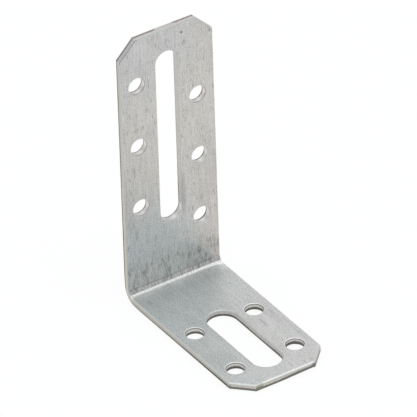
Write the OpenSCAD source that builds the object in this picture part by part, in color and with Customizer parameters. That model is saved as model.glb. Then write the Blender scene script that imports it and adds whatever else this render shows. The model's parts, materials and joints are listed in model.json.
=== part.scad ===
// Adjustable angle bracket: one strip of galvanised steel, punched flat and folded once.
// The short leg lies on the surface and the tall leg stands at its back edge.
// Every punched rim and cut edge is rolled over on the inner faces, where the punch went in,
// and is sharp on the outer faces, where it came out.
// +Z is up, and the origin is under the middle of the bracket's overall box.
// The outer face of the tall leg looks towards +Y. Sizes are in millimetres.

/* [Strip] */
// Width of the strip
strip_width = 30; // [27:0.5:60]
// Thickness of the sheet
sheet_thickness = 2; // [1:0.1:3]
// Tall leg, from the surface up to its free edge
tall_leg = 84.5; // [78:0.5:160]
// Short leg, from the outer face of the tall leg to its free edge
short_leg = 57; // [48:0.5:120]
// Inside radius of the fold
fold_radius = 2; // [1:0.1:8]

/* [Edges] */
// Corner cut at the free ends, measured along each edge
corner_cut = 5.3; // [2:0.1:8]
// How far the rolled-over edge reaches onto each face
edge_rollover = 0.3; // [0.1:0.05:0.5]

/* [Screw holes] */
// Diameter of the screw holes
hole_diameter = 5.2; // [3:0.1:6]
// Distance across the strip between the two columns of holes
hole_spacing = 19.4; // [17:0.1:21]
// Distance along the strip from one row to the next
hole_pitch = 20; // [12:0.5:25]
// Rows of holes in the tall leg
tall_rows = 3; // [1:1:3]
// Free edge of the tall leg to the first hole of the upper column
tall_first_hole = 15; // [10:0.5:24]
// How much lower the other column sits on the tall leg
tall_stagger = 10.2; // [0:0.1:12]
// Rows of holes in the short leg
short_rows = 2; // [1:1:2]
// Free edge of the short leg to its first row of holes
short_first_hole = 10; // [8:0.5:25]

/* [Slots] */
// Width of the slot in the tall leg
tall_slot_width = 7; // [4:0.1:12]
// Length of the slot in the tall leg, end to end
tall_slot_length = 55.6; // [20:0.1:64]
// Free edge of the tall leg to the near end of its slot
tall_slot_margin = 7.3; // [4:0.1:18]
// Width of the slot in the short leg
short_slot_width = 9; // [4:0.1:12]
// Length of the slot in the short leg, end to end
short_slot_length = 30.4; // [14:0.1:40]
// Free edge of the short leg to the near end of its slot
short_slot_margin = 5; // [3:0.1:18]

/* [Hidden] */
$fn = 96;

// Outside radius of the fold, which is also where each flat leg starts
fold_outer = fold_radius + sheet_thickness;
// Angle at which the rolled-over arc leaves each face, so that a crisp line shows there
roll_angle = 15;
// Radius of the rolled-over arc, and the distance of its centre from each face
roll_arc = edge_rollover / (cos(roll_angle) - sin(roll_angle));
roll_centre = roll_arc * cos(roll_angle);
// How far a cutting shape runs past the faces that it cuts
overcut = 1;

// Holes of each leg as [place across the strip, distance from the free edge]
tall_holes = [
    for (row = [0 : tall_rows - 1], column = [0, 1])
        [(column - 0.5) * hole_spacing, tall_first_hole + row * hole_pitch + column * tall_stagger]
];
short_holes = [
    for (row = [0 : short_rows - 1], column = [0, 1])
        [(column - 0.5) * hole_spacing, short_first_hole + row * hole_pitch]
];

// What the rolled-over edge takes off a corner at the origin, with the metal in the first quadrant
module rolled_corner() {
    difference() {
        translate([-overcut, -overcut]) square(roll_centre + overcut);
        translate([roll_centre, roll_centre]) circle(roll_arc);
    }
}

// Section of the strip: x runs from the outer face to the inner face, y across the strip
module strip_section() {
    difference() {
        translate([0, -strip_width / 2]) square([sheet_thickness, strip_width]);
        for (side = [-1, 1])
            translate([sheet_thickness, side * strip_width / 2]) rotate(135 + 45 * side) rolled_corner();
    }
}

// Half section of a punched opening: x runs from its axis outwards, y from the outer face inwards
module punch_section(radius) {
    translate([0, -overcut]) square([radius, sheet_thickness + 2 * overcut]);
    translate([radius, sheet_thickness]) rotate(-90) rolled_corner();
}

// Round punch along z
module round_punch(diameter) {
    rotate_extrude() punch_section(diameter / 2);
}

// Punch for a slot with round ends, along z, with the slot along y
module slot_punch(width, length) {
    straight = length - width;
    rotate([90, 0, 0]) linear_extrude(height = straight, center = true)
        for (side = [0, 1]) mirror([side, 0]) punch_section(width / 2);
    for (turn = [0, 180])
        rotate(turn) translate([0, straight / 2, 0]) rotate_extrude(angle = 180) punch_section(width / 2);
}

// Shear for a straight edge through the origin: it takes off what lies above, leaning to +x by lean degrees
module edge_shear(lean) {
    rotate([180, lean - 90, 0]) linear_extrude(height = 2 * strip_width, center = true) {
        translate([0, -overcut]) square([corner_cut + 2 * overcut, sheet_thickness + 2 * overcut]);
        translate([0, sheet_thickness]) rotate(180) rolled_corner();
    }
}

// One flat leg along z, from the end of the fold to its free edge, with its outer face on y = 0
module leg(length, holes, slot_width, slot_length, slot_margin) {
    difference() {
        translate([0, 0, fold_outer]) rotate(-90)
            linear_extrude(height = length - fold_outer + overcut) strip_section();
        translate([0, 0, length]) edge_shear(0);
        for (side = [-1, 1])
            translate([side * (strip_width - corner_cut) / 2, 0, length - corner_cut / 2]) edge_shear(45 * side);
        for (hole = holes)
            translate([hole.x, 0, length - hole.y]) rotate([90, 0, 0]) round_punch(hole_diameter);
        translate([0, 0, length - slot_margin - slot_length / 2]) rotate([90, 0, 0])
            slot_punch(slot_width, slot_length);
    }
}

// Quarter-round fold between the two flat legs
module fold() {
    translate([0, -fold_outer, fold_outer]) rotate([0, 90, 0])
        rotate_extrude(angle = 90) translate([fold_outer, 0]) mirror([1, 0]) strip_section();
}

// The whole bracket: the short leg is a leg laid over by a mirror in the plane that halves the fold
module angle_bracket() {
    color([0.73, 0.74, 0.74])
        translate([0, short_leg / 2, 0]) {
            leg(tall_leg, tall_holes, tall_slot_width, tall_slot_length, tall_slot_margin);
            fold();
            mirror([0, 1, 1]) leg(short_leg, short_holes, short_slot_width, short_slot_length, short_slot_margin);
        }
}

angle_bracket();
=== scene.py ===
"""Adjustable angle bracket, dressed as punched and folded galvanised steel on a white studio floor.

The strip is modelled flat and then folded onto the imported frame. Flat places are in millimetres: across
the strip, along it from the middle of the fold (the tall leg is positive, the short leg negative), and
deep from the inner faces. Scene places are in metres.
"""

import json
import math

import bpy
import numpy as np
from mathutils import Matrix, Vector
from mathutils.geometry import delaunay_2d_cdt


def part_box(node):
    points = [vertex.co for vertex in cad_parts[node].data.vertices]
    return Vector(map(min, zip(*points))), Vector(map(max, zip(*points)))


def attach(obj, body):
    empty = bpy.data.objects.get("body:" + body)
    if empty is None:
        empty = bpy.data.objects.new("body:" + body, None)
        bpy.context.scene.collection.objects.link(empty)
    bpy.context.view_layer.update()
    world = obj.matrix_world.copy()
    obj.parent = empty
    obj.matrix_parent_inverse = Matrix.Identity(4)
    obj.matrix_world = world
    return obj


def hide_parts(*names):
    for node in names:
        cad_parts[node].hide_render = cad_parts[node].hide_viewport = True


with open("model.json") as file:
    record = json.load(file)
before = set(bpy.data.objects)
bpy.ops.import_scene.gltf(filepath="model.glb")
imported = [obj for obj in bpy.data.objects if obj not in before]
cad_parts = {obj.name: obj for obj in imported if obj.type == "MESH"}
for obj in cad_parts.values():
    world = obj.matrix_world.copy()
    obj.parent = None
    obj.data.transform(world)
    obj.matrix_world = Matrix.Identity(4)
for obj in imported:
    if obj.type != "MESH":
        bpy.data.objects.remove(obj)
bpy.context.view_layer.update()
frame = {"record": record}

NODE = "angle_bracket"
SLOT = "galvanised_steel"
MM = 0.001

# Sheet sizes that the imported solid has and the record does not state
THICKNESS = 2.0
FOLD_RADIUS = 2.0
CORNER_CUT = 5.3

# Rounded outline corners of each leg, wider than its outline is rolled, and the depth of the smooth shear
TALL_CORNER = 0.4
SHORT_CORNER = 0.8
SHEAR_DEPTH = 1.2

# Cut edges of the outline and of each leg's punched rims: how far and how deep the rim is rolled, how far
# back the tear falls, and what share of the roll is left where the edge faces +X
OUTLINE_EDGE = (0.7, 0.3, 0.23, 0.0)
TALL_PUNCHED_EDGE = (0.35, 0.25, 0.02, 1.0)
SHORT_PUNCHED_EDGE = (0.35, 0.25, 0.09, 1.0)

# Share of the tear left where an edge faces +X, and share of the roll left on the tall leg
FAR_TEAR_SHARE = 0.1
TALL_ROLL_SHARE = 0.5

# Free ends: how squarely an edge faces along the strip there, the share of the tear left in the middle of the
# strip, its gain for each millimetre towards +X on each leg, and the limits of that share
END_FACING = 0.71
END_TEAR_SHARE = 0.4
TALL_END_GAIN = 0.05
SHORT_END_GAIN = 0.16
END_TEAR_LIMITS = (0.3, 1.7)

# Bending draws the long edges in at the outside of the fold: how far, how far along from its middle, and how
# steeply towards the edge
EDGE_PULL = 0.2
PULL_REACH = 6.0
PULL_POWER = 6

# Mesh steps along edges, over the faces and round the fold
EDGE_STEP = 1.0
GRID_STEP = 1.5
FOLD_STEP = 0.3
HOLE_STEPS = 64
CORNER_STEPS = 4
ROLL_STEPS = 6

# Clearance of the face grid from the rims, the height of a sliver, and the least distance between points
EDGE_CLEARANCE = 0.5
SLIVER_HEIGHT = 5e-5
LEAST_DISTANCE = 1e-7

# Sizes and places from the frame
LOW, HIGH = (np.array(corner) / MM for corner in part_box(NODE))
WIDTH, SHORT_LEG, TALL_LEG = HIGH - LOW
MIDDLE = (LOW[0] + HIGH[0]) / 2
BACK = HIGH[1]
FLOOR = LOW[2]
FOLD_OUTER = FOLD_RADIUS + THICKNESS
HALF_ARC = (FOLD_RADIUS + THICKNESS / 2) * math.pi / 4
TOP = TALL_LEG - FOLD_OUTER + HALF_ARC
BOTTOM = FOLD_OUTER - SHORT_LEG - HALF_ARC


def on_tall(height):
    """Place along the strip of a height above the floor on the tall leg."""
    return height - FLOOR - FOLD_OUTER + HALF_ARC


def on_short(y):
    """Place along the strip of a Y on the short leg."""
    return y - BACK + FOLD_OUTER - HALF_ARC


def fold_turn(flat):
    """How far each flat point has turned, from none on the tall leg to a right angle on the short leg."""
    share = (HALF_ARC - flat[:, 1]) / (2 * HALF_ARC)
    return np.clip(share, 0, 1) * math.pi / 2


def edge_pull(along):
    """How far the outer corner of a long edge is drawn in by the fold."""
    return EDGE_PULL * np.cos(np.clip(along / PULL_REACH, -1, 1) * math.pi / 2) ** 2


def folded(flat):
    """Flat points folded into place, in metres."""
    across, along, deep = flat.T
    outermost = np.abs(2 * across / WIDTH) ** PULL_POWER
    across = across - np.sign(across) * outermost * edge_pull(along) * deep / THICKNESS
    turn = fold_turn(flat)
    radius = FOLD_RADIUS + deep
    up = np.maximum(along - HALF_ARC, 0)
    out = np.maximum(-along - HALF_ARC, 0)
    y = BACK - FOLD_OUTER + radius * np.cos(turn) - out
    z = FLOOR + FOLD_OUTER - radius * np.sin(turn) + up
    return np.column_stack([across + MIDDLE, y, z]) * MM


def turned(flat, directions):
    """Directions at flat points (across, along, out of the inner face) turned with the fold."""
    across, along, out = directions.T
    turn = fold_turn(flat)
    y = along * np.sin(turn) - out * np.cos(turn)
    z = along * np.cos(turn) + out * np.sin(turn)
    return np.column_stack([across, y, z])


def spread(start, end, step):
    """Even places from start to end, about a step apart."""
    count = max(1, round(abs(end - start) / step))
    return np.linspace(start, end, count + 1)


ROWS = np.unique(np.concatenate([
    spread(BOTTOM, -HALF_ARC, GRID_STEP),
    spread(-HALF_ARC, HALF_ARC, FOLD_STEP),
    spread(HALF_ARC, TOP, GRID_STEP),
]))


def arc(centre, radius, start, end, steps):
    """Points of an arc and the directions from its centre."""
    angles = np.linspace(start, end, steps + 1)
    directions = np.column_stack([np.cos(angles), np.sin(angles)])
    return np.array(centre) + radius * directions, directions


def hole_loop(centre, radius):
    """Rim of a round hole, with the metal on its left, and the directions into the hole."""
    points, directions = arc(centre, radius, 0, -2 * math.pi, HOLE_STEPS)
    return points[:-1], -directions[:-1]


def slot_loop(centre, radius, length):
    """Rim of a round-ended slot along the strip, with the directions into the slot."""
    reach = np.array([0, length / 2 - radius])
    points = []
    normals = []
    for end, start_angle in ((-1, 0), (1, math.pi)):
        end_angle = start_angle - math.pi
        ends, directions = arc(centre + end * reach, radius, start_angle, end_angle, HOLE_STEPS // 2)
        sides = spread(0, 2 * reach[1], EDGE_STEP)[1:-1]
        side_points = ends[-1] - end * np.outer(sides, (0, 1))
        points += [ends, side_points]
        normals += [-directions, np.tile(-directions[-1], (len(sides), 1))]
    return np.concatenate(points), np.concatenate(normals)


def outline_loop():
    """Outline of the flat strip, with the metal on its left, and the directions outwards."""
    half = WIDTH / 2
    corners = np.array([
        (half, BOTTOM + CORNER_CUT),
        (half, TOP - CORNER_CUT),
        (half - CORNER_CUT, TOP),
        (CORNER_CUT - half, TOP),
        (-half, TOP - CORNER_CUT),
        (-half, BOTTOM + CORNER_CUT),
        (CORNER_CUT - half, BOTTOM),
        (half - CORNER_CUT, BOTTOM),
    ])
    turn = math.pi / 4
    clear = 2 * SHORT_CORNER * math.tan(turn / 2)
    points = []
    normals = []
    for number, corner in enumerate(corners):
        heading_in = corner - corners[number - 1]
        heading_in /= np.linalg.norm(heading_in)
        following = corners[(number + 1) % len(corners)]
        heading_out = following - corner
        length = np.linalg.norm(heading_out)
        heading_out /= length
        outward = np.array([heading_in[1], -heading_in[0]])
        start = math.atan2(outward[1], outward[0])
        radius = TALL_CORNER if corner[1] > 0 else SHORT_CORNER
        centre = corner - radius * math.tan(turn / 2) * heading_in - radius * outward
        bend, directions = arc(centre, radius, start, start + turn, CORNER_STEPS)
        # The long sides take the rows of the face grid
        if abs(heading_out[0]) < LEAST_DISTANCE:
            runs = np.sort(abs(ROWS - corner[1])[(ROWS - corner[1]) * heading_out[1] > 0])
        else:
            runs = spread(0, length, EDGE_STEP)
        runs = runs[(runs > clear) & (runs < length - clear)]
        points += [bend, corner + np.outer(runs, heading_out)]
        normals += [directions, np.tile(directions[-1], (len(runs), 1))]
    return np.concatenate(points), np.concatenate(normals)


def punched_loops():
    """Rims of every hole and slot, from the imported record's mounts."""
    mounts = {mount["name"]: mount for mount in frame["record"]["mounts"]}
    loops = []
    base = mounts["base_screw_holes"]
    half_across = base["dims"]["spacing_x_mm"] / 2
    half_along = base["dims"]["spacing_y_mm"] / 2
    for side in (-1, 1):
        for row in (-1, 1):
            along = on_short(base["pos_m"][1] / MM + row * half_along)
            loops.append(hole_loop((side * half_across, along), base["dims"]["hole_r_mm"]))
    for name in ("back_screw_pair_upper", "back_screw_pair_middle", "back_screw_pair_lower"):
        pair = mounts[name]
        half_stagger = math.sqrt((pair["dims"]["pcd_mm"] / 2) ** 2 - half_across ** 2)
        for side in (-1, 1):
            along = on_tall(pair["pos_m"][2] / MM - side * half_stagger)
            loops.append(hole_loop((side * half_across, along), pair["dims"]["hole_r_mm"]))
    tall = mounts["back_slot"]
    short = mounts["base_slot"]
    for slot, along in ((tall, on_tall(tall["pos_m"][2] / MM)), (short, on_short(short["pos_m"][1] / MM))):
        centre = np.array([0, along])
        loops.append(slot_loop(centre, slot["dims"]["hole_r_mm"], slot["dims"]["slot_length_mm"]))
    return loops


def edge_profile(reach, depth, tear, far_share):
    """Section of a cut edge from the inner face: set-back, set-back facing +X, depth and lean."""
    profile = []
    for turn in np.linspace(math.pi / 2, 0, ROLL_STEPS + 1):
        lean = math.atan2(reach * math.sin(turn), depth * math.cos(turn))
        back = reach * (1 - math.cos(turn))
        profile.append((back, back * far_share, depth * (1 - math.sin(turn)), lean))
    profile.append((0, 0, SHEAR_DEPTH, 0))
    profile.append((tear, tear * FAR_TEAR_SHARE, THICKNESS, -math.atan2(tear, THICKNESS - SHEAR_DEPTH)))
    return profile


def set_back(points, normals, back, far_back, deep):
    """A rim set back into the metal, rolled less on the tall leg and torn less towards -X on free ends."""
    amount = back + (far_back - back) * np.clip(normals[:, :1], 0, 1)
    if deep < SHEAR_DEPTH:
        tall = np.clip((HALF_ARC + points[:, 1:]) / (2 * HALF_ARC), 0, 1)
        amount = amount * (1 - (1 - TALL_ROLL_SHARE) * tall)
    else:
        at_end = np.clip((np.abs(normals[:, 1:]) - END_FACING) / (1 - END_FACING), 0, 1)
        gain = np.where(points[:, 1:] > 0, TALL_END_GAIN, SHORT_END_GAIN)
        share = np.clip(END_TEAR_SHARE + gain * points[:, :1], *END_TEAR_LIMITS)
        amount = amount * (1 + at_end * (share - 1))
    return points - amount * normals


def inside_metal(points, loops):
    """Which flat points lie in the metal, by counting the rims crossed on the way across the strip."""
    crossings = np.zeros(len(points), int)
    for rim in loops:
        following = np.roll(rim, -1, axis=0)
        for (x0, y0), (x1, y1) in zip(rim, following):
            if y0 == y1:
                continue
            spans = (points[:, 1] >= y0) != (points[:, 1] >= y1)
            meets = x0 + (points[:, 1] - y0) * (x1 - x0) / (y1 - y0)
            crossings += spans & (points[:, 0] < meets)
    return crossings % 2 == 1


def face_grid(loops):
    """Points spread over a face, clear of its rims."""
    columns = spread(-WIDTH / 2, WIDTH / 2, GRID_STEP)[1:-1]
    points = np.array([(across, along) for along in ROWS for across in columns])
    rims = np.concatenate(loops)
    nearest = np.array([np.min(np.hypot(*(rims - point).T)) for point in points])
    return points[(nearest > EDGE_CLEARANCE) & inside_metal(points, loops)]


def fill_face(loops, extra):
    """Triangles over a face between its rims, as indices into the rims' points and then the extra ones."""
    rim_points = np.concatenate(loops)
    points = np.concatenate([rim_points, extra])
    edges = []
    first = 0
    for rim in loops:
        count = len(rim)
        edges += [(first + step, first + (step + 1) % count) for step in range(count)]
        first += count
    found = delaunay_2d_cdt([Vector(point) for point in points], edges, [], 0, LEAST_DISTANCE)
    coordinates, triangles, sources = found[0], found[2], found[3]
    place = np.array([tuple(point) for point in coordinates])
    triangles = np.array([tuple(triangle) for triangle in triangles])
    corners = place[triangles]
    sides = corners - np.roll(corners, 1, axis=1)
    longest = np.hypot(sides[:, :, 0], sides[:, :, 1]).max(axis=1)
    twice_area = np.abs(sides[:, 0, 0] * sides[:, 1, 1] - sides[:, 0, 1] * sides[:, 1, 0])
    sound = twice_area > SLIVER_HEIGHT * longest
    triangles = triangles[sound & inside_metal(corners.mean(axis=1), loops)]
    index = np.array([source[0] for source in sources])
    return index[triangles]


def map_ribbons(loops, columns_from, longest, gap, reach):
    """Lays the cut edges out as upright ribbons on the map: where each one starts, and the map's width."""
    ribbons = []
    for number, (points, normals) in enumerate(loops):
        lengths = np.hypot(*(np.roll(points, -1, axis=0) - points).T)
        ribbon = [number, 0, 0.0]
        for step, length in enumerate(lengths):
            if ribbon[2] + length > longest:
                ribbons.append(ribbon)
                ribbon = [number, step, 0.0]
            ribbon[2] += length
        ribbons.append(ribbon)
    columns = []
    corners = {}
    for number, start, length in sorted(ribbons, key=lambda ribbon: -ribbon[2]):
        fitting = [column for column, used in enumerate(columns) if used + gap + length <= longest]
        if not fitting:
            columns.append(-gap)
            fitting = [len(columns) - 1]
        column = fitting[0]
        corners[number, start] = (columns_from + column * (reach + gap), columns[column] + gap)
        columns[column] += gap + length
    return corners, columns_from + len(columns) * (reach + gap)


def build_strip():
    """The bracket's mesh, folded into place, with its own normals, flat places and map."""
    loops = [outline_loop()] + punched_loops()
    profiles = [edge_profile(*OUTLINE_EDGE)]
    for points, normals in loops[1:]:
        profiles.append(edge_profile(*(TALL_PUNCHED_EDGE if points[0, 1] > 0 else SHORT_PUNCHED_EDGE)))
    levels = len(profiles[0])
    vertices = []
    first_of = []
    for (points, normals), profile in zip(loops, profiles):
        first_of.append(sum(len(part) for part in vertices))
        for row in profile:
            ring = set_back(points, normals, *row[:3])
            vertices.append(np.column_stack([ring, np.full(len(ring), row[2])]))
    outline_count = len(loops[0][0]) * levels
    rim_count = sum(len(part) for part in vertices)

    map_gap = 1.0
    map_length = TOP - BOTTOM
    steps = np.diff([(row[0], row[2]) for row in profiles[0]], axis=0)
    down_edge = np.concatenate([[0], np.cumsum(np.hypot(*steps.T))])
    corners, map_width = map_ribbons(loops, 2 * (WIDTH + map_gap), map_length, map_gap, down_edge[-1])
    faces = []
    normal_of_corner = []
    map_of_corner = []

    # Walls, one band of quads between each pair of rings
    for number, ((points, normals), profile) in enumerate(zip(loops, profiles)):
        count = len(points)
        lengths = np.hypot(*(np.roll(points, -1, axis=0) - points).T)
        left, lower = 0.0, 0.0
        for step in range(count):
            if (number, step) in corners:
                left, lower = corners[number, step]
            following = (step + 1) % count
            for ring in range(levels - 1):
                here = first_of[number] + ring * count
                below = here + count
                faces.append((here + step, below + step, below + following, here + following))
                for at, level, ahead in ((step, 0, 0), (step, 1, 0), (following, 1, 1), (following, 0, 1)):
                    pulled = edge_pull(points[at, 1]) if number == 0 else 0.0
                    lean = profile[ring + level][3] - math.atan2(pulled, THICKNESS)
                    side = math.cos(lean) * normals[at]
                    normal_of_corner.append((side[0], side[1], math.sin(lean)))
                    map_of_corner.append((left + down_edge[ring + level], lower + ahead * lengths[step]))
            lower += lengths[step]

    # The inner face and the outer face, filled between their rims
    for ring, out, map_left in ((0, 1, WIDTH / 2), (levels - 1, -1, 1.5 * WIDTH + map_gap)):
        deep = profiles[0][ring][2]
        rims = [set_back(*loop, *profile[ring][:3]) for loop, profile in zip(loops, profiles)]
        extra = face_grid(rims)
        index = []
        for number, rim in enumerate(rims):
            start = first_of[number] + ring * len(rim)
            index += range(start, start + len(rim))
        start = sum(len(part) for part in vertices)
        index += range(start, start + len(extra))
        index = np.array(index)
        vertices.append(np.column_stack([extra, np.full(len(extra), deep)]))
        flat = np.concatenate(vertices)
        for triangle in index[fill_face(rims, extra)][:, ::out]:
            faces.append(tuple(int(corner) for corner in triangle))
            for corner in triangle:
                normal_of_corner.append((0, 0, out))
                map_of_corner.append((map_left + out * flat[corner, 0], flat[corner, 1] - BOTTOM))

    flat = np.concatenate(vertices)
    mesh = bpy.data.meshes.new("folded_strip")
    mesh.from_pydata(folded(flat).tolist(), [], faces)
    mesh.polygons.foreach_set("use_smooth", [True] * len(faces))
    corner_flat = flat[np.concatenate([np.array(face) for face in faces])]
    mesh.normals_split_custom_set(turned(corner_flat, np.array(normal_of_corner)).tolist())
    mesh.attributes.new("sheet", "FLOAT_VECTOR", "POINT").data.foreach_set("vector", flat.ravel())
    punched = np.zeros(len(flat))
    punched[outline_count:rim_count] = 1.0
    mesh.attributes.new("punched", "FLOAT", "POINT").data.foreach_set("value", punched)
    layout = (np.array(map_of_corner) + map_gap) / (map_width + map_gap, map_length + 2 * map_gap)
    mesh.uv_layers.new(name="OFBake").uv.foreach_set("vector", layout.ravel())
    return mesh


def add_node(tree, kind, inputs, **settings):
    """A shader node with its settings, and with its inputs linked or set."""
    node = tree.nodes.new(kind)
    for name, value in settings.items():
        setattr(node, name, value)
    for name, value in inputs.items():
        if isinstance(value, bpy.types.NodeSocket):
            tree.links.new(value, node.inputs[name])
        else:
            node.inputs[name].default_value = value
    return node


def maths(tree, operation, first, second=0.0, third=0.0):
    return add_node(tree, "ShaderNodeMath", {0: first, 1: second, 2: third}, operation=operation).outputs[0]


def ease(tree, value, start, end, low=0.0, high=1.0):
    """Eases from low to high as the value goes from start to end."""
    inputs = {"Value": value, "From Min": start, "From Max": end, "To Min": low, "To Max": high}
    return add_node(tree, "ShaderNodeMapRange", inputs, interpolation_type="SMOOTHSTEP").outputs[0]


def grain(tree, place, per_mm, detail=2.0, roughness=0.5, distortion=0.0):
    """Noise over the sheet, with so many features a millimetre across, along and deep."""
    scaled = add_node(tree, "ShaderNodeVectorMath", {0: place, 1: per_mm}, operation="MULTIPLY").outputs[0]
    inputs = {
        "Vector": scaled,
        "Scale": 1.0,
        "Detail": detail,
        "Roughness": roughness,
        "Distortion": distortion,
    }
    return add_node(tree, "ShaderNodeTexNoise", inputs).outputs[0]


def mixed(tree, factor, first, second):
    inputs = {0: factor, 6: first, 7: second}
    return add_node(tree, "ShaderNodeMix", inputs, data_type="RGBA", clamp_factor=False).outputs[2]


# Marks on the inner faces, one of them painted shade: the leg, across the strip, height or Y, half width,
# half length and how dark
MARKS = [
    (on_tall, 5.1, 81.5, 0.42, 0.42, 0.75),
    (on_tall, 14.1, 78.7, 0.35, 0.7, 0.50),
    (on_tall, 15.0, 45.0, 0.7, 60.0, 0.06),
    (on_tall, 6.9, 73.3, 0.5, 2.2, 0.12),
    (on_tall, 5.3, 64.8, 0.4, 1.8, 0.16),
    (on_tall, 8.3, 63.2, 0.4, 1.6, 0.16),
    (on_tall, 12.0, 35.0, 6.0, 18.0, 0.06),
    # Painted shade along the wall of the tall leg's slot
    (on_tall, 3.9, 28.5, 1.3, 9.0, 0.17),
    (on_tall, -11.5, 41.7, 0.3, 2.4, 0.30),
    (on_tall, -6.9, 61.1, 0.3, 1.6, 0.16),
    (on_tall, -6.0, 68.4, 0.3, 1.4, 0.25),
    (on_tall, -13.5, 47.0, 4.0, 14.0, 0.035),
    (on_tall, -13.5, 28.0, 2.5, 16.0, 0.035),
    (on_tall, -11.5, 20.9, 0.6, 2.2, 0.20),
    (on_tall, -12.4, 24.5, 0.4, 1.8, 0.14),
    (on_tall, -1.5, 9.3, 0.6, 1.9, 0.24),
    (on_tall, -1.2, 5.6, 0.6, 1.9, 0.18),
    (on_tall, 1.4, 9.7, 0.9, 1.0, 0.18),
    (on_tall, 5.2, 7.9, 0.8, 1.5, 0.24),
    (on_tall, 8.6, 8.6, 0.7, 1.6, 0.18),
    (on_tall, -9.5, 7.5, 0.8, 1.7, 0.18),
    (on_tall, -6.9, 11.0, 0.3, 1.8, 0.22),
    (on_tall, -11.0, 12.6, 0.4, 1.3, 0.18),
    (on_tall, 12.2, 10.1, 0.4, 1.0, 0.20),
    (on_short, 12.9, 13.3, 4.0, 7.0, 0.04),
    (on_short, 12.5, 20.5, 4.0, 4.5, 0.07),
    (on_short, 14.0, -3.0, 4.0, 20.0, 0.04),
    (on_short, -10.5, -15.0, 6.0, 9.0, 0.08),
    (on_short, -11.8, 20.6, 0.3, 1.6, 0.30),
    (on_short, 8.4, -5.0, 0.2, 3.2, 0.42),
    (on_short, 13.8, -8.0, 0.3, 1.8, 0.20),
    (on_short, 1.3, -22.6, 0.25, 1.6, 0.16),
    (on_short, 3.4, -25.8, 0.25, 1.4, 0.24),
    (on_short, 12.1, 7.4, 0.25, 2.6, 0.14),
    (on_short, 8.3, -14.5, 0.4, 0.8, 0.14),
    (on_short, 9.5, -26.8, 0.5, 0.7, 0.22),
    (on_short, 7.4, -26.4, 0.4, 0.9, 0.14),
    (on_short, 13.0, -1.9, 0.6, 1.8, 0.08),
]


def marks_and_painted_shade(tree, across, along):
    """Soft oval marks, each strongest in its middle; one of them is painted shade beside the tall leg's slot.
    """
    total = 0.0
    for leg, place, distance, half_width, half_length, darkness in MARKS:
        aside = maths(tree, "MULTIPLY_ADD", across, 1 / half_width, -place / half_width)
        ahead = maths(tree, "MULTIPLY_ADD", along, 1 / half_length, -leg(distance) / half_length)
        away = maths(tree, "MULTIPLY_ADD", ahead, ahead, maths(tree, "MULTIPLY", aside, aside))
        total = maths(tree, "ADD", total, ease(tree, away, 0.0, 1.0, darkness, 0.0))
    return total


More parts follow.
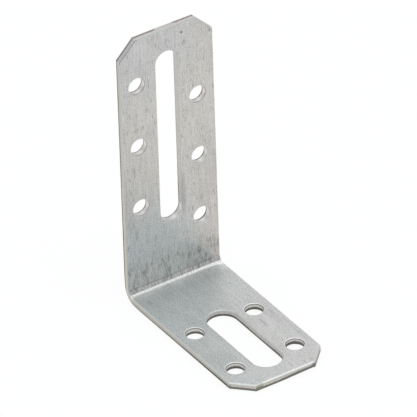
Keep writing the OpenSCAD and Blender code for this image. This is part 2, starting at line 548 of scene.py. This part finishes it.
def streaked_zinc(tree, place):
    """Colour of the zinc coat with its streaks and marks, painted shade and highlight at the fold, painted
    reflected tints, and the grains that gloss and relief follow.
    """
    across, along, deep = add_node(tree, "ShaderNodeSeparateXYZ", {0: place}).outputs
    clouds = grain(tree, place, (0.12, 0.07, 0.1), detail=4.0, roughness=0.6)
    hues = grain(tree, place, (0.2, 0.07, 1.0), detail=2.0, roughness=0.5)
    dashes = grain(tree, place, (6.0, 0.40, 1.0), detail=1.0, roughness=0.5)
    clusters = grain(tree, place, (0.5, 0.12, 1.0), detail=2.0, roughness=0.5)
    lines = grain(tree, place, (4.8, 0.08, 1.0), detail=1.0, roughness=0.6)
    speckle = grain(tree, place, (3.6, 3.2, 2.0), detail=0.0)
    smudges = grain(tree, place, (0.7, 0.22, 1.0), detail=3.0, roughness=0.6, distortion=0.5)
    mottle = grain(tree, place, (0.45, 0.25, 1.0), detail=3.0, roughness=0.6, distortion=0.8)
    inner = ease(tree, deep, 0.5, 1.0, 1.0, 0.0)
    tall = ease(tree, along, -HALF_ARC, HALF_ARC)

    # Streaks are strongest just above the fold, a little less so towards +X, and weakest on the short leg
    above_fold = ease(tree, along, on_tall(7.0), on_tall(16.0), 1.0, 0.0)
    above_fold = maths(tree, "MULTIPLY", above_fold, ease(tree, along, -HALF_ARC * 0.3, HALF_ARC * 0.4))
    above_fold = maths(tree, "MULTIPLY", above_fold, inner)
    dirty = maths(tree, "MULTIPLY", above_fold, ease(tree, across, 4.0, 12.0, 1.0, 0.6))
    shaded = maths(tree, "MULTIPLY", above_fold, ease(tree, across, 0.0, 10.0, 0.0, 0.11))
    patchy = maths(tree, "MULTIPLY_ADD", tall, 0.5, 0.5)
    patchy = maths(tree, "MULTIPLY", ease(tree, clusters, 0.40, 0.62, 0.2, 1.0), patchy)
    patchy = maths(tree, "MULTIPLY_ADD", dirty, 0.3, patchy)
    dark_dashes = maths(tree, "MULTIPLY", ease(tree, dashes, 0.56, 0.66), patchy)
    dark_smudges = maths(tree, "MULTIPLY", ease(tree, smudges, 0.47, 0.68), dirty)

    # The upper half of the fold is darkened as painted shade, with a thin dark line of painted shade along
    # its middle, and its lower side is lightened as a painted highlight
    painted_fold_shade = maths(tree, "MULTIPLY", ease(tree, along, -HALF_ARC * 0.95, -HALF_ARC * 0.25),
                    ease(tree, along, HALF_ARC * 0.75, HALF_ARC * 1.4, 1.0, 0.0))
    painted_fold_shade = maths(tree, "MULTIPLY", painted_fold_shade, inner)
    painted_fold_shade_line = maths(tree, "MULTIPLY", ease(tree, along, -HALF_ARC * 0.12, HALF_ARC * 0.08),
                        ease(tree, along, HALF_ARC * 0.12, HALF_ARC * 0.32, 1.0, 0.0))
    painted_fold_shade_line = maths(tree, "MULTIPLY", painted_fold_shade_line, inner)
    # Painted highlight on the short leg along the fold's lower side
    painted_fold_highlight = maths(tree, "MULTIPLY", ease(tree, along, -HALF_ARC - 3.2, -HALF_ARC + 0.3, 0.0, 0.165),
                        ease(tree, along, -HALF_ARC * 0.7, -HALF_ARC * 0.3, 1.0, 0.0))
    painted_fold_highlight = maths(tree, "MULTIPLY", painted_fold_highlight, inner)

    by_fold = ease(tree, along, -HALF_ARC - 22.0, -HALF_ARC - 8.0)
    # Painted light: the short leg is lightened towards the fold
    painted_light_by_fold = maths(tree, "MULTIPLY", by_fold, ease(tree, along, -HALF_ARC, HALF_ARC, 0.037, 0.0))
    tone = maths(tree, "MULTIPLY_ADD", clouds, 0.12, 0.91)
    tone = maths(tree, "ADD", tone, painted_light_by_fold)
    tone = maths(tree, "SUBTRACT", tone, ease(tree, along, on_tall(60.0), on_tall(76.0), 0.0, 0.03))
    tone = maths(tree, "ADD", tone, maths(tree, "MULTIPLY_ADD", mottle, 0.2, -0.1))
    tone = maths(tree, "ADD", tone, maths(tree, "MULTIPLY_ADD", lines, 0.40, -0.20))
    fineness = maths(tree, "MULTIPLY_ADD", tall, -0.25, 0.95)
    tone = maths(tree, "MULTIPLY_ADD", maths(tree, "SUBTRACT", speckle, 0.5), fineness, tone)
    tone = maths(tree, "MULTIPLY_ADD", dark_dashes, -0.36, tone)
    tone = maths(tree, "MULTIPLY_ADD", dark_smudges, -0.29, tone)
    tone = maths(tree, "SUBTRACT", tone, shaded)
    # Painted shade over the upper half of the fold and along its middle, and a painted highlight on its lower
    # side
    tone = maths(tree, "MULTIPLY_ADD", painted_fold_shade, -0.195, tone)
    tone = maths(tree, "MULTIPLY_ADD", painted_fold_shade_line, -0.145, tone)
    tone = maths(tree, "ADD", tone, painted_fold_highlight)
    marks = maths(tree, "MULTIPLY", marks_and_painted_shade(tree, across, along), inner)
    tone = maths(tree, "SUBTRACT", tone, marks)

    # Tints paint reflected colour over the zinc's random hues: the tall leg is warmest in the middle of its
    # height and towards +X and coolest at its foot, the short leg is coolest by the fold and towards -X, and
    # the upper half of the fold is warm
    warmth = maths(tree, "MULTIPLY", ease(tree, along, on_tall(18.0), on_tall(42.0), 0.1, 0.95),
                   ease(tree, along, on_tall(54.0), on_tall(76.0), 1.0, 0.1))
    warm_side = maths(tree, "MULTIPLY", ease(tree, across, -1.0, 12.0, 0.0, 1.1),
                      ease(tree, along, on_tall(62.0), on_tall(80.0), 1.0, 0.55))
    warmth = maths(tree, "MAXIMUM", warmth, warm_side)
    warmth = maths(tree, "MAXIMUM", warmth, above_fold)
    warmth = maths(tree, "ADD", warmth, maths(tree, "MULTIPLY_ADD", hues, 0.8, -0.4))
    cool_foot = ease(tree, along, on_tall(16.0), on_tall(32.0), 1.0, 0.0)
    cool_tint = mixed(tree, cool_foot, (0.655, 0.654, 0.657, 1), (0.652, 0.668, 0.668, 1))
    tall_tint = mixed(tree, warmth, cool_tint, (0.672, 0.653, 0.630, 1))
    coolness = maths(tree, "MAXIMUM", by_fold, ease(tree, across, -9.0, 4.0, 1.0, 0.0))
    short_tint = mixed(tree, coolness, (0.666, 0.664, 0.657, 1), (0.656, 0.667, 0.664, 1))
    tint = mixed(tree, tall, short_tint, tall_tint)
    # The painted shade in the upper half of the fold is tinted warm
    warm_painted_fold_shade = maths(tree, "MULTIPLY", painted_fold_shade, ease(tree, along, -HALF_ARC * 0.35, HALF_ARC * 0.25))
    warm_painted_fold_shade = maths(tree, "MULTIPLY", warm_painted_fold_shade,
                        ease(tree, along, HALF_ARC * 0.4, HALF_ARC * 0.9, 1.0, 0.35))
    tint = mixed(tree, warm_painted_fold_shade, tint, (0.735, 0.645, 0.622, 1))
    return mixed(tree, tone, (0, 0, 0, 1), tint), speckle, lines


def cut_edge(tree, place, punched):
    """Colours of a cut edge's wall and rim, and how rolled, cut and torn it is."""
    across, along, deep = add_node(tree, "ShaderNodeSeparateXYZ", {0: place}).outputs
    tall = ease(tree, along, -HALF_ARC, HALF_ARC)
    front = ease(tree, along, BOTTOM + 8.0, -HALF_ARC - 6.0, 1.0, 0.0)
    end = ease(tree, along, TOP - 0.8, TOP - 0.4)
    side = ease(tree, maths(tree, "ABSOLUTE", across), WIDTH / 2 - 0.6, WIDTH / 2 - 0.4)
    hole = maths(tree, "MULTIPLY", punched, ease(tree, maths(tree, "ABSOLUTE", across), 5.0, 6.5))
    slot = maths(tree, "SUBTRACT", punched, hole)
    far_hole = maths(tree, "MULTIPLY", maths(tree, "MULTIPLY", hole, tall), ease(tree, across, -6.0, 6.0))
    far_hole = maths(tree, "MULTIPLY", far_hole, ease(tree, along, on_tall(45.0), on_tall(53.0), 1.0, 0.0))
    low_slot = maths(tree, "MULTIPLY", maths(tree, "MULTIPLY", slot, tall),
                     ease(tree, along, on_tall(28.0), on_tall(40.0), 1.0, 0.0))
    low_slot = maths(tree, "MULTIPLY", low_slot, ease(tree, along, on_tall(23.5), on_tall(26.0)))
    slot_end = maths(tree, "MULTIPLY", maths(tree, "MULTIPLY", slot, tall),
                     ease(tree, along, on_tall(23.5), on_tall(26.0), 1.0, 0.0))
    low_side = maths(tree, "MULTIPLY", maths(tree, "MULTIPLY", side, tall),
                     ease(tree, along, on_tall(25.0), on_tall(50.0), 1.0, 0.0))
    # Corner cuts: the tall leg's towards -X, and the short leg's towards +X and towards -X
    tall_limit = TOP + WIDTH / 2 - CORNER_CUT
    short_limit = WIDTH / 2 - BOTTOM - CORNER_CUT
    clipped = ease(tree, maths(tree, "SUBTRACT", along, across), tall_limit - 0.8, tall_limit - 0.6)
    far_clip = ease(tree, maths(tree, "SUBTRACT", across, along), short_limit - 1.2, short_limit - 0.9)
    near_clip = ease(tree, maths(tree, "ADD", across, along), 0.9 - short_limit, 1.2 - short_limit, 1.0, 0.0)

    # The short leg's free end is worn on its half towards +X, and has a nick in the other half
    lip = ease(tree, along, BOTTOM + 0.4, BOTTOM + 0.8, 1.0, 0.0)
    worn_lip = maths(tree, "MULTIPLY", lip, ease(tree, across, -1.0, 7.0))
    nick = maths(tree, "ABSOLUTE", maths(tree, "ADD", across, 8.4))
    nick = maths(tree, "MULTIPLY", lip, ease(tree, nick, 0.9, 1.3, 1.0, 0.0))

    # The tear starts deepest in the holes and slot of the tall leg, leaves a gap in the middle of that leg's
    # free end, and starts soonest at the nick and on the worn half of the other free end
    ragged = grain(tree, place, (1.4, 1.4, 0.0), detail=3.0, roughness=0.6)
    wander = grain(tree, place, (0.11, 0.11, 0.0), detail=1.0)
    gap = ease(tree, maths(tree, "ABSOLUTE", maths(tree, "SUBTRACT", across, 0.3)), 2.2, 3.4, 0.9, -0.15)
    border = maths(tree, "MULTIPLY_ADD", maths(tree, "MULTIPLY", tall, punched), 0.45, SHEAR_DEPTH - 0.6)
    border = maths(tree, "MULTIPLY_ADD", low_slot, -0.15, border)
    short_hole = maths(tree, "SUBTRACT", hole, maths(tree, "MULTIPLY", hole, tall))
    border = maths(tree, "MULTIPLY_ADD", short_hole, ease(tree, across, -6.0, 6.0, 0.0, -0.25), border)
    border = maths(tree, "MULTIPLY_ADD", nick, -0.4, border)
    border = maths(tree, "MULTIPLY_ADD", front, -0.1, border)
    border = maths(tree, "MULTIPLY_ADD", worn_lip, -0.35, border)
    border = maths(tree, "MULTIPLY_ADD", maths(tree, "MULTIPLY", front, side), -0.15, border)
    border = maths(tree, "MULTIPLY_ADD", ragged, 0.5, border)
    border = maths(tree, "MULTIPLY_ADD", wander, 0.6, border)
    border = maths(tree, "MULTIPLY_ADD", end, gap, border)
    torn = ease(tree, maths(tree, "SUBTRACT", deep, border), -0.05, 0.25)
    not_outer = maths(tree, "LESS_THAN", deep, THICKNESS - 0.002)
    rolled = maths(tree, "MULTIPLY", ease(tree, deep, 0.0, 0.1), not_outer)
    # Painted highlight: a bright glint ring on the rolled rims of the short leg's holes
    painted_rim_glint = maths(tree, "MULTIPLY", ease(tree, deep, 0.0, 0.01), ease(tree, deep, 0.03, 0.07, 1.0, 0.0))
    painted_rim_glint = maths(tree, "MULTIPLY", painted_rim_glint, short_hole)
    rolled = maths(tree, "MAXIMUM", rolled, painted_rim_glint)
    cut = maths(tree, "MULTIPLY", ease(tree, deep, 0.2, 0.4), not_outer)

    # Colours of the shear and of the tear on each leg; the shear is palest in the holes and on free ends, in
    # the holes partly as a painted highlight, and the short leg's walls are darkened as painted shade
    short_shear = mixed(tree, side, (0.535, 0.523, 0.49, 1), (0.44, 0.43, 0.405, 1))
    short_shear = mixed(tree, punched, short_shear, (0.45, 0.445, 0.43, 1))
    short_shear = mixed(tree, hole, short_shear, (0.58, 0.570, 0.550, 1))
    short_shear = mixed(tree, far_clip, short_shear, (0.28, 0.27, 0.25, 1))
    tall_shear = mixed(tree, end, (0.515, 0.505, 0.485, 1), (0.66, 0.63, 0.625, 1))
    tall_shear = mixed(tree, low_side, tall_shear, (0.56, 0.54, 0.495, 1))
    tall_shear = mixed(tree, clipped, tall_shear, (0.575, 0.55, 0.56, 1))
    tall_shear = mixed(tree, slot, tall_shear, (0.55, 0.535, 0.52, 1))
    tall_shear = mixed(tree, low_slot, tall_shear, (0.47, 0.455, 0.445, 1))
    bright = maths(tree, "ADD", hole, slot_end)
    tall_shear = mixed(tree, bright, tall_shear, (0.70, 0.675, 0.67, 1))
    tall_shear = mixed(tree, far_hole, tall_shear, (0.685, 0.667, 0.655, 1))
    tall_shear = mixed(tree, slot_end, tall_shear, (0.67, 0.65, 0.64, 1))
    short_tear = mixed(tree, front, (0.27, 0.26, 0.235, 1), (0.21, 0.203, 0.183, 1))
    dark_side = maths(tree, "SUBTRACT", side, maths(tree, "MULTIPLY", side, near_clip))
    short_tear = mixed(tree, maths(tree, "MULTIPLY", front, dark_side), short_tear, (0.10, 0.096, 0.086, 1))
    short_tear = mixed(tree, punched, short_tear, (0.155, 0.15, 0.14, 1))
    tall_tear = mixed(tree, side, (0.31, 0.275, 0.27, 1), (0.26, 0.245, 0.205, 1))
    tall_tear = mixed(tree, low_side, tall_tear, (0.16, 0.145, 0.11, 1))
    tall_tear = mixed(tree, end, tall_tear, (0.37, 0.33, 0.325, 1))
    tall_tear = mixed(tree, bright, tall_tear, (0.23, 0.20, 0.195, 1))
    tall_tear = mixed(tree, far_hole, tall_tear, (0.15, 0.133, 0.128, 1))
    tall_tear = mixed(tree, low_slot, tall_tear, (0.24, 0.21, 0.18, 1))
    pale_slot = maths(tree, "SUBTRACT", maths(tree, "SUBTRACT", slot, low_slot), slot_end)
    tall_tear = mixed(tree, pale_slot, tall_tear, (0.52, 0.50, 0.485, 1))
    short_wall = mixed(tree, torn, short_shear, short_tear)
    tall_wall = mixed(tree, torn, tall_shear, tall_tear)
    wall = mixed(tree, tall, short_wall, tall_wall)
    scored = grain(tree, place, (2.2, 2.2, 0.0), detail=1.0)
    wall = mixed(tree, maths(tree, "MULTIPLY_ADD", scored, 0.3, 0.85), (0, 0, 0, 1), wall)
    wall = mixed(tree, maths(tree, "MULTIPLY", nick, 0.45), wall, (0.31, 0.305, 0.23, 1))

    # Colours of the rolled rim, with a dark line of painted shade in the holes and along the free end of the
    # tall leg, and a painted glint round the rims of the short leg's holes
    rim = mixed(tree, side, (0.71, 0.70, 0.68, 1), (0.61, 0.60, 0.575, 1))
    rim = mixed(tree, slot, rim, (0.60, 0.595, 0.58, 1))
    rim = mixed(tree, tall, rim, (0.58, 0.572, 0.55, 1))
    rim = mixed(tree, low_side, rim, (0.50, 0.495, 0.475, 1))
    rim = mixed(tree, low_slot, rim, (0.47, 0.465, 0.46, 1))
    rim = mixed(tree, far_hole, rim, (0.655, 0.645, 0.63, 1))
    painted_rim_shade = maths(tree, "MULTIPLY_ADD", far_hole, -0.85, hole)
    painted_rim_shade = maths(tree, "MULTIPLY", painted_rim_shade, ease(tree, deep, 0.04, 0.12))
    rim = mixed(tree, painted_rim_shade, rim, mixed(tree, tall, (0.20, 0.195, 0.19, 1), (0.34, 0.325, 0.325, 1)))
    rim = mixed(tree, painted_rim_glint, rim, (0.98, 0.97, 0.95, 1))
    # Painted shade: a thin dark line along the tall leg's free end and its corner cut
    thin_painted_rim_shade = maths(tree, "MULTIPLY_ADD", end, 0.15, clipped)
    thin_painted_rim_shade = maths(tree, "MULTIPLY", thin_painted_rim_shade, ease(tree, deep, 0.0, 0.03))
    thin_painted_rim_shade = maths(tree, "MULTIPLY", thin_painted_rim_shade, ease(tree, deep, 0.12, 0.16, 1.0, 0.0))
    rim = mixed(tree, clipped, rim, (0.665, 0.65, 0.665, 1))
    rim = mixed(tree, thin_painted_rim_shade, rim, (0.10, 0.097, 0.104, 1))
    rim = mixed(tree, far_clip, rim, (0.60, 0.59, 0.565, 1))
    rim = mixed(tree, near_clip, rim, (0.64, 0.63, 0.615, 1))
    rim = mixed(tree, nick, rim, (0.50, 0.495, 0.44, 1))
    return wall, rim, rolled, cut, torn


def galvanised_steel():
    """Dull zinc with fine streaks along the strip, and bright shear over a dark tear on the cut edges."""
    material = bpy.data.materials.new(SLOT)
    material.use_nodes = True
    tree = material.node_tree
    shader = tree.nodes["Principled BSDF"]
    place = add_node(tree, "ShaderNodeAttribute", {}, attribute_name="sheet").outputs["Vector"]
    punched = add_node(tree, "ShaderNodeAttribute", {}, attribute_name="punched").outputs["Fac"]
    along = add_node(tree, "ShaderNodeSeparateXYZ", {0: place}).outputs[1]
    zinc, speckle, lines = streaked_zinc(tree, place)
    wall, rim, rolled, cut, torn = cut_edge(tree, place, punched)
    colour = mixed(tree, cut, mixed(tree, rolled, zinc, rim), wall)
    tree.links.new(colour, shader.inputs["Base Color"])

    # Gloss and relief
    in_fold = ease(tree, maths(tree, "ABSOLUTE", along), HALF_ARC * 0.8, HALF_ARC * 1.3, 1.0, 0.0)
    gloss = maths(tree, "MULTIPLY_ADD", speckle, 0.12, 0.40)
    gloss = maths(tree, "MULTIPLY_ADD", in_fold, -0.22, gloss)
    gloss = maths(tree, "MULTIPLY_ADD", rolled, -0.12, gloss)
    gloss = maths(tree, "MULTIPLY_ADD", maths(tree, "MULTIPLY", cut, torn), 0.25, gloss)
    tree.links.new(gloss, shader.inputs["Roughness"])
    height = maths(tree, "MULTIPLY_ADD", lines, 0.5, speckle)
    bump = add_node(tree, "ShaderNodeBump", {"Strength": 0.15, "Distance": 0.00005, "Height": height})
    tree.links.new(bump.outputs[0], shader.inputs["Normal"])
    shader.inputs["Metallic"].default_value = 1.0
    return material


def add_object(name, data):
    made = bpy.data.objects.new(name, data)
    bpy.context.scene.collection.objects.link(made)
    return made


def add_bracket():
    mesh = build_strip()
    mesh.materials.append(galvanised_steel())
    bracket = add_object("folded_strip", mesh)
    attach(bracket, "root")
    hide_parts(NODE)


# Studio colours: what the metal sees of the floor, of the walls in front and behind, and of the ceiling
FLOOR_GLOW = (0.98, 0.97, 0.95, 1)
WALL_FRONT = (0.75, 0.87, 0.905, 1)
WALL_BACK = (0.76, 0.76, 0.75, 1)
CEILING = (1.24, 1.27, 1.28, 1)

# Share of its own white that the floor shows; the rest takes the shadow
GLOW_SHARE = 0.9

# Overhead lamp: size, place and aim in metres, and power in watts
LAMP_SIZE = 0.45
LAMP_PLACE = (0.30, -0.12, 0.70)
LAMP_AIM = (0, 0, 0.03)
LAMP_POWER = 0.15


def add_floor():
    """White studio floor that keeps a faint shadow."""
    reach = 4.0
    below = -0.00005
    mesh = bpy.data.meshes.new("studio_floor")
    corners = [
        (-reach, -reach, below),
        (reach, -reach, below),
        (reach, reach, below),
        (-reach, reach, below),
    ]
    mesh.from_pydata(corners, [], [(0, 1, 2, 3)])
    material = bpy.data.materials.new("studio_floor")
    material.use_nodes = True
    tree = material.node_tree
    tree.nodes.remove(tree.nodes["Principled BSDF"])
    path = add_node(tree, "ShaderNodeLightPath", {}).outputs
    seen = maths(tree, "MAXIMUM", path["Is Camera Ray"], path["Is Glossy Ray"])
    glow_colour = mixed(tree, path["Is Camera Ray"], FLOOR_GLOW, (1, 1, 1, 1))
    plain = add_node(tree, "ShaderNodeBsdfDiffuse", {"Color": (0.95, 0.95, 0.95, 1)})
    glow = add_node(tree, "ShaderNodeEmission", {"Color": glow_colour, "Strength": 1.0})
    share = maths(tree, "MULTIPLY", seen, GLOW_SHARE)
    mix = add_node(tree, "ShaderNodeMixShader", {0: share, 1: plain.outputs[0], 2: glow.outputs[0]})
    tree.links.new(mix.outputs[0], tree.nodes["Material Output"].inputs["Surface"])
    mesh.materials.append(material)
    add_object("studio_floor", mesh)


def add_light():
    """A pale room with a bright ceiling, and one soft lamp overhead."""
    world = bpy.data.worlds.new("studio")
    bpy.context.scene.world = world
    world.use_nodes = True
    tree = world.node_tree
    direction = add_node(tree, "ShaderNodeTexCoord", {}).outputs["Generated"]
    ahead, up = add_node(tree, "ShaderNodeSeparateXYZ", {0: direction}).outputs[1:]
    walls = mixed(tree, ease(tree, ahead, -0.5, 0.5), WALL_FRONT, WALL_BACK)
    room = mixed(tree, ease(tree, up, 0.65, 0.76), walls, CEILING)
    tree.links.new(room, tree.nodes["Background"].inputs["Color"])
    lamp = bpy.data.lights.new("overhead", "AREA")
    lamp.shape = "RECTANGLE"
    lamp.size = LAMP_SIZE
    lamp.size_y = LAMP_SIZE
    lamp.energy = LAMP_POWER
    overhead = add_object("overhead", lamp)
    overhead.location = LAMP_PLACE
    aim = Vector(LAMP_AIM) - overhead.location
    overhead.rotation_euler = aim.to_track_quat("-Z", "Y").to_euler()


# Camera of the photograph, angles in degrees, lengths in metres and the lens in millimetres
VIEW_AZIMUTH = -32.349
VIEW_ELEVATION = 34.935
VIEW_ROLL = -1.948
VIEW_DISTANCE = 3.0
VIEW_LENS = 952.36
VIEW_TARGET = (0.0, 0.0135, 0.03272)
VIEW_SIDESTEP = 0.003105


def add_camera():
    azimuth, elevation, roll = (math.radians(angle) for angle in (VIEW_AZIMUTH, VIEW_ELEVATION, VIEW_ROLL))
    backward = Vector((
        math.sin(azimuth) * math.cos(elevation),
        -math.cos(azimuth) * math.cos(elevation),
        math.sin(elevation),
    ))
    level = Vector((math.cos(azimuth), math.sin(azimuth), 0))
    upright = backward.cross(level)
    right = math.cos(roll) * level + math.sin(roll) * upright
    upward = math.cos(roll) * upright - math.sin(roll) * level
    eye = Vector(VIEW_TARGET) + VIEW_SIDESTEP * right + VIEW_DISTANCE * backward
    data = bpy.data.cameras.new("photo_view")
    data.lens = VIEW_LENS
    data.clip_end = 20.0
    camera = add_object("photo_view", data)
    turn = Matrix((right, upward, backward)).transposed()
    camera.matrix_world = Matrix.Translation(eye) @ turn.to_4x4()
    bpy.context.scene.camera = camera


add_camera()
add_bracket()
add_floor()
add_light()
bpy.context.scene.view_settings.view_transform = "Standard"
